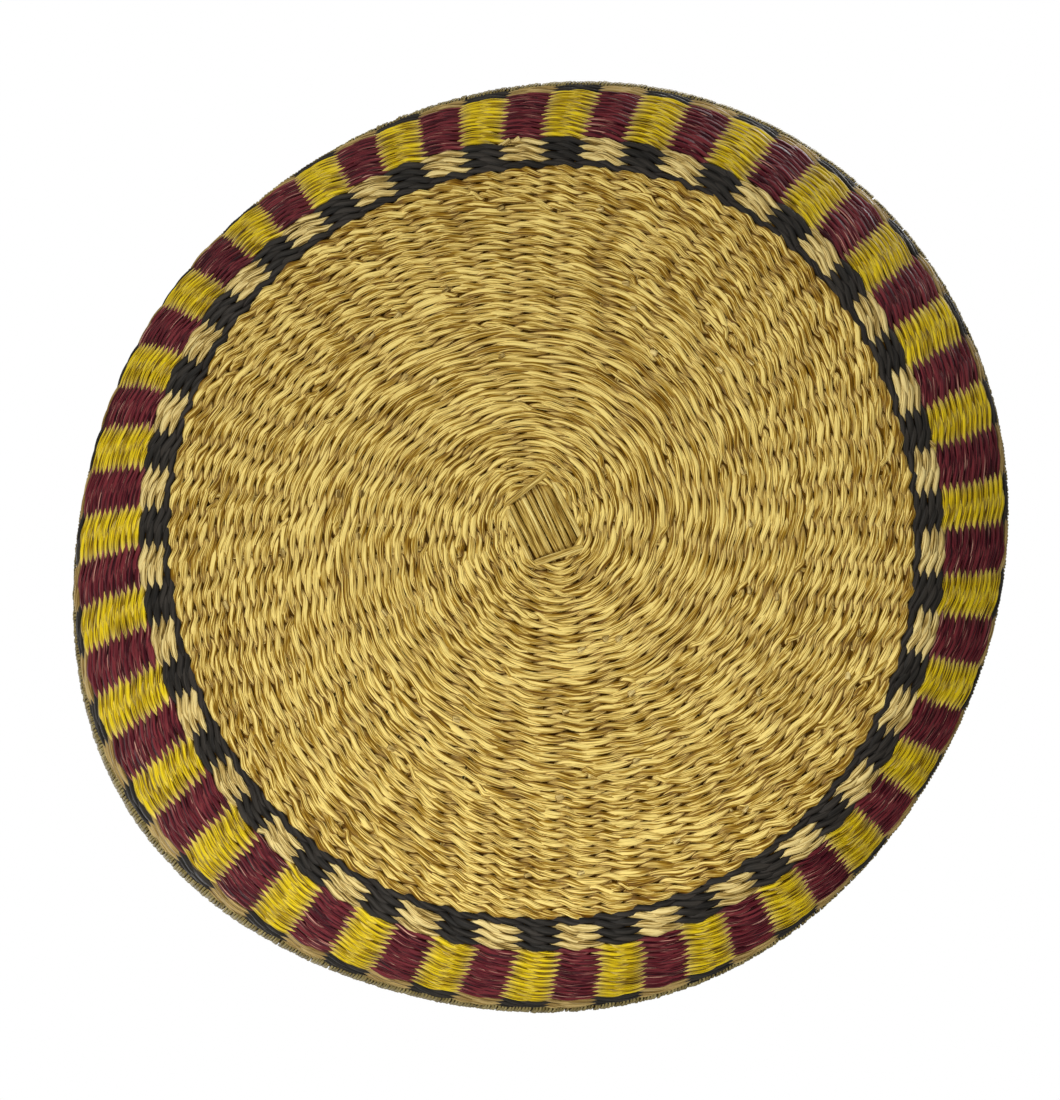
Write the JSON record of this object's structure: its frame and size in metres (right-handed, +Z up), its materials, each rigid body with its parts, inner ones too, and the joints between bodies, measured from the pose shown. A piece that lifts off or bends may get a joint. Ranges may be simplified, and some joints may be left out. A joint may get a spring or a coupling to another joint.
{
  "type": "woven basket",
  "caption": "Shallow round basket of twined straw with a flat natural base, checked bands up the wall and a wrapped rim.",
  "frame": {"origin": "middle of the resting face, under the centre of the rim's bounding box", "axes": "+Z up out of the mouth; +X towards a yellow block, 4 degrees off it; the oval mouth's long axis lies 45 degrees clockwise of +X seen from above"},
  "size_m": [0.3198, 0.3202, 0.0469],
  "materials": {
    "natural_straw": "dry straw, satin, golden tan",
    "stake_straw": "dry straw, satin, pale",
    "rim_straw": "dry straw, dull, khaki",
    "yellow_straw": "dyed straw, satin, strong yellow",
    "maroon_straw": "dyed straw, satin, dark maroon",
    "black_straw": "dyed straw, satin, charcoal"
  },
  "bodies": {
    "root": {"outside_straw_01": "stake_straw", "outside_straw_02": "stake_straw", "outside_straw_03": "stake_straw", "outside_straw_04": "stake_straw", "outside_straw_05": "stake_straw", "outside_straw_06": "stake_straw", "outside_straw_07": "stake_straw", "outside_straw_08": "stake_straw", "outside_straw_09": "stake_straw", "crossing_straw_01": "stake_straw", "crossing_straw_02": "stake_straw", "crossing_straw_03": "stake_straw", "crossing_straw_04": "stake_straw", "crossing_straw_05": "stake_straw", "crossing_straw_06": "stake_straw", "crossing_straw_07": "stake_straw", "added_stake_01": "stake_straw", "added_stake_02": "stake_straw", "added_stake_03": "stake_straw", "added_stake_04": "stake_straw", "added_stake_05": "stake_straw", "added_stake_06": "stake_straw", "added_stake_07": "stake_straw", "added_stake_08": "stake_straw", "added_stake_09": "stake_straw", "added_stake_10": "stake_straw", "added_stake_11": "stake_straw", "added_stake_12": "stake_straw", "added_stake_13": "stake_straw", "added_stake_14": "stake_straw", "added_stake_15": "stake_straw", "added_stake_16": "stake_straw", "added_stake_17": "stake_straw", "added_stake_18": "stake_straw", "added_stake_19": "stake_straw", "added_stake_20": "stake_straw", "added_stake_21": "stake_straw", "added_stake_22": "stake_straw", "added_stake_23": "stake_straw", "added_stake_24": "stake_straw", "added_stake_25": "stake_straw", "added_stake_26": "stake_straw", "added_stake_27": "stake_straw", "added_stake_28": "stake_straw", "added_stake_29": "stake_straw", "added_stake_30": "stake_straw", "added_stake_31": "stake_straw", "base_weft": "natural_straw", "line_strand_a": "black_straw", "line_strand_b": "black_straw", "inner_check_black": "black_straw", "inner_check_natural": "natural_straw", "main_check_yellow": "yellow_straw", "main_check_maroon": "maroon_straw", "outer_check_black": "black_straw", "outer_check_natural": "natural_straw", "rim_core": "stake_straw", "rim_wrap": "rim_straw"}
  },
  "joints": []
}
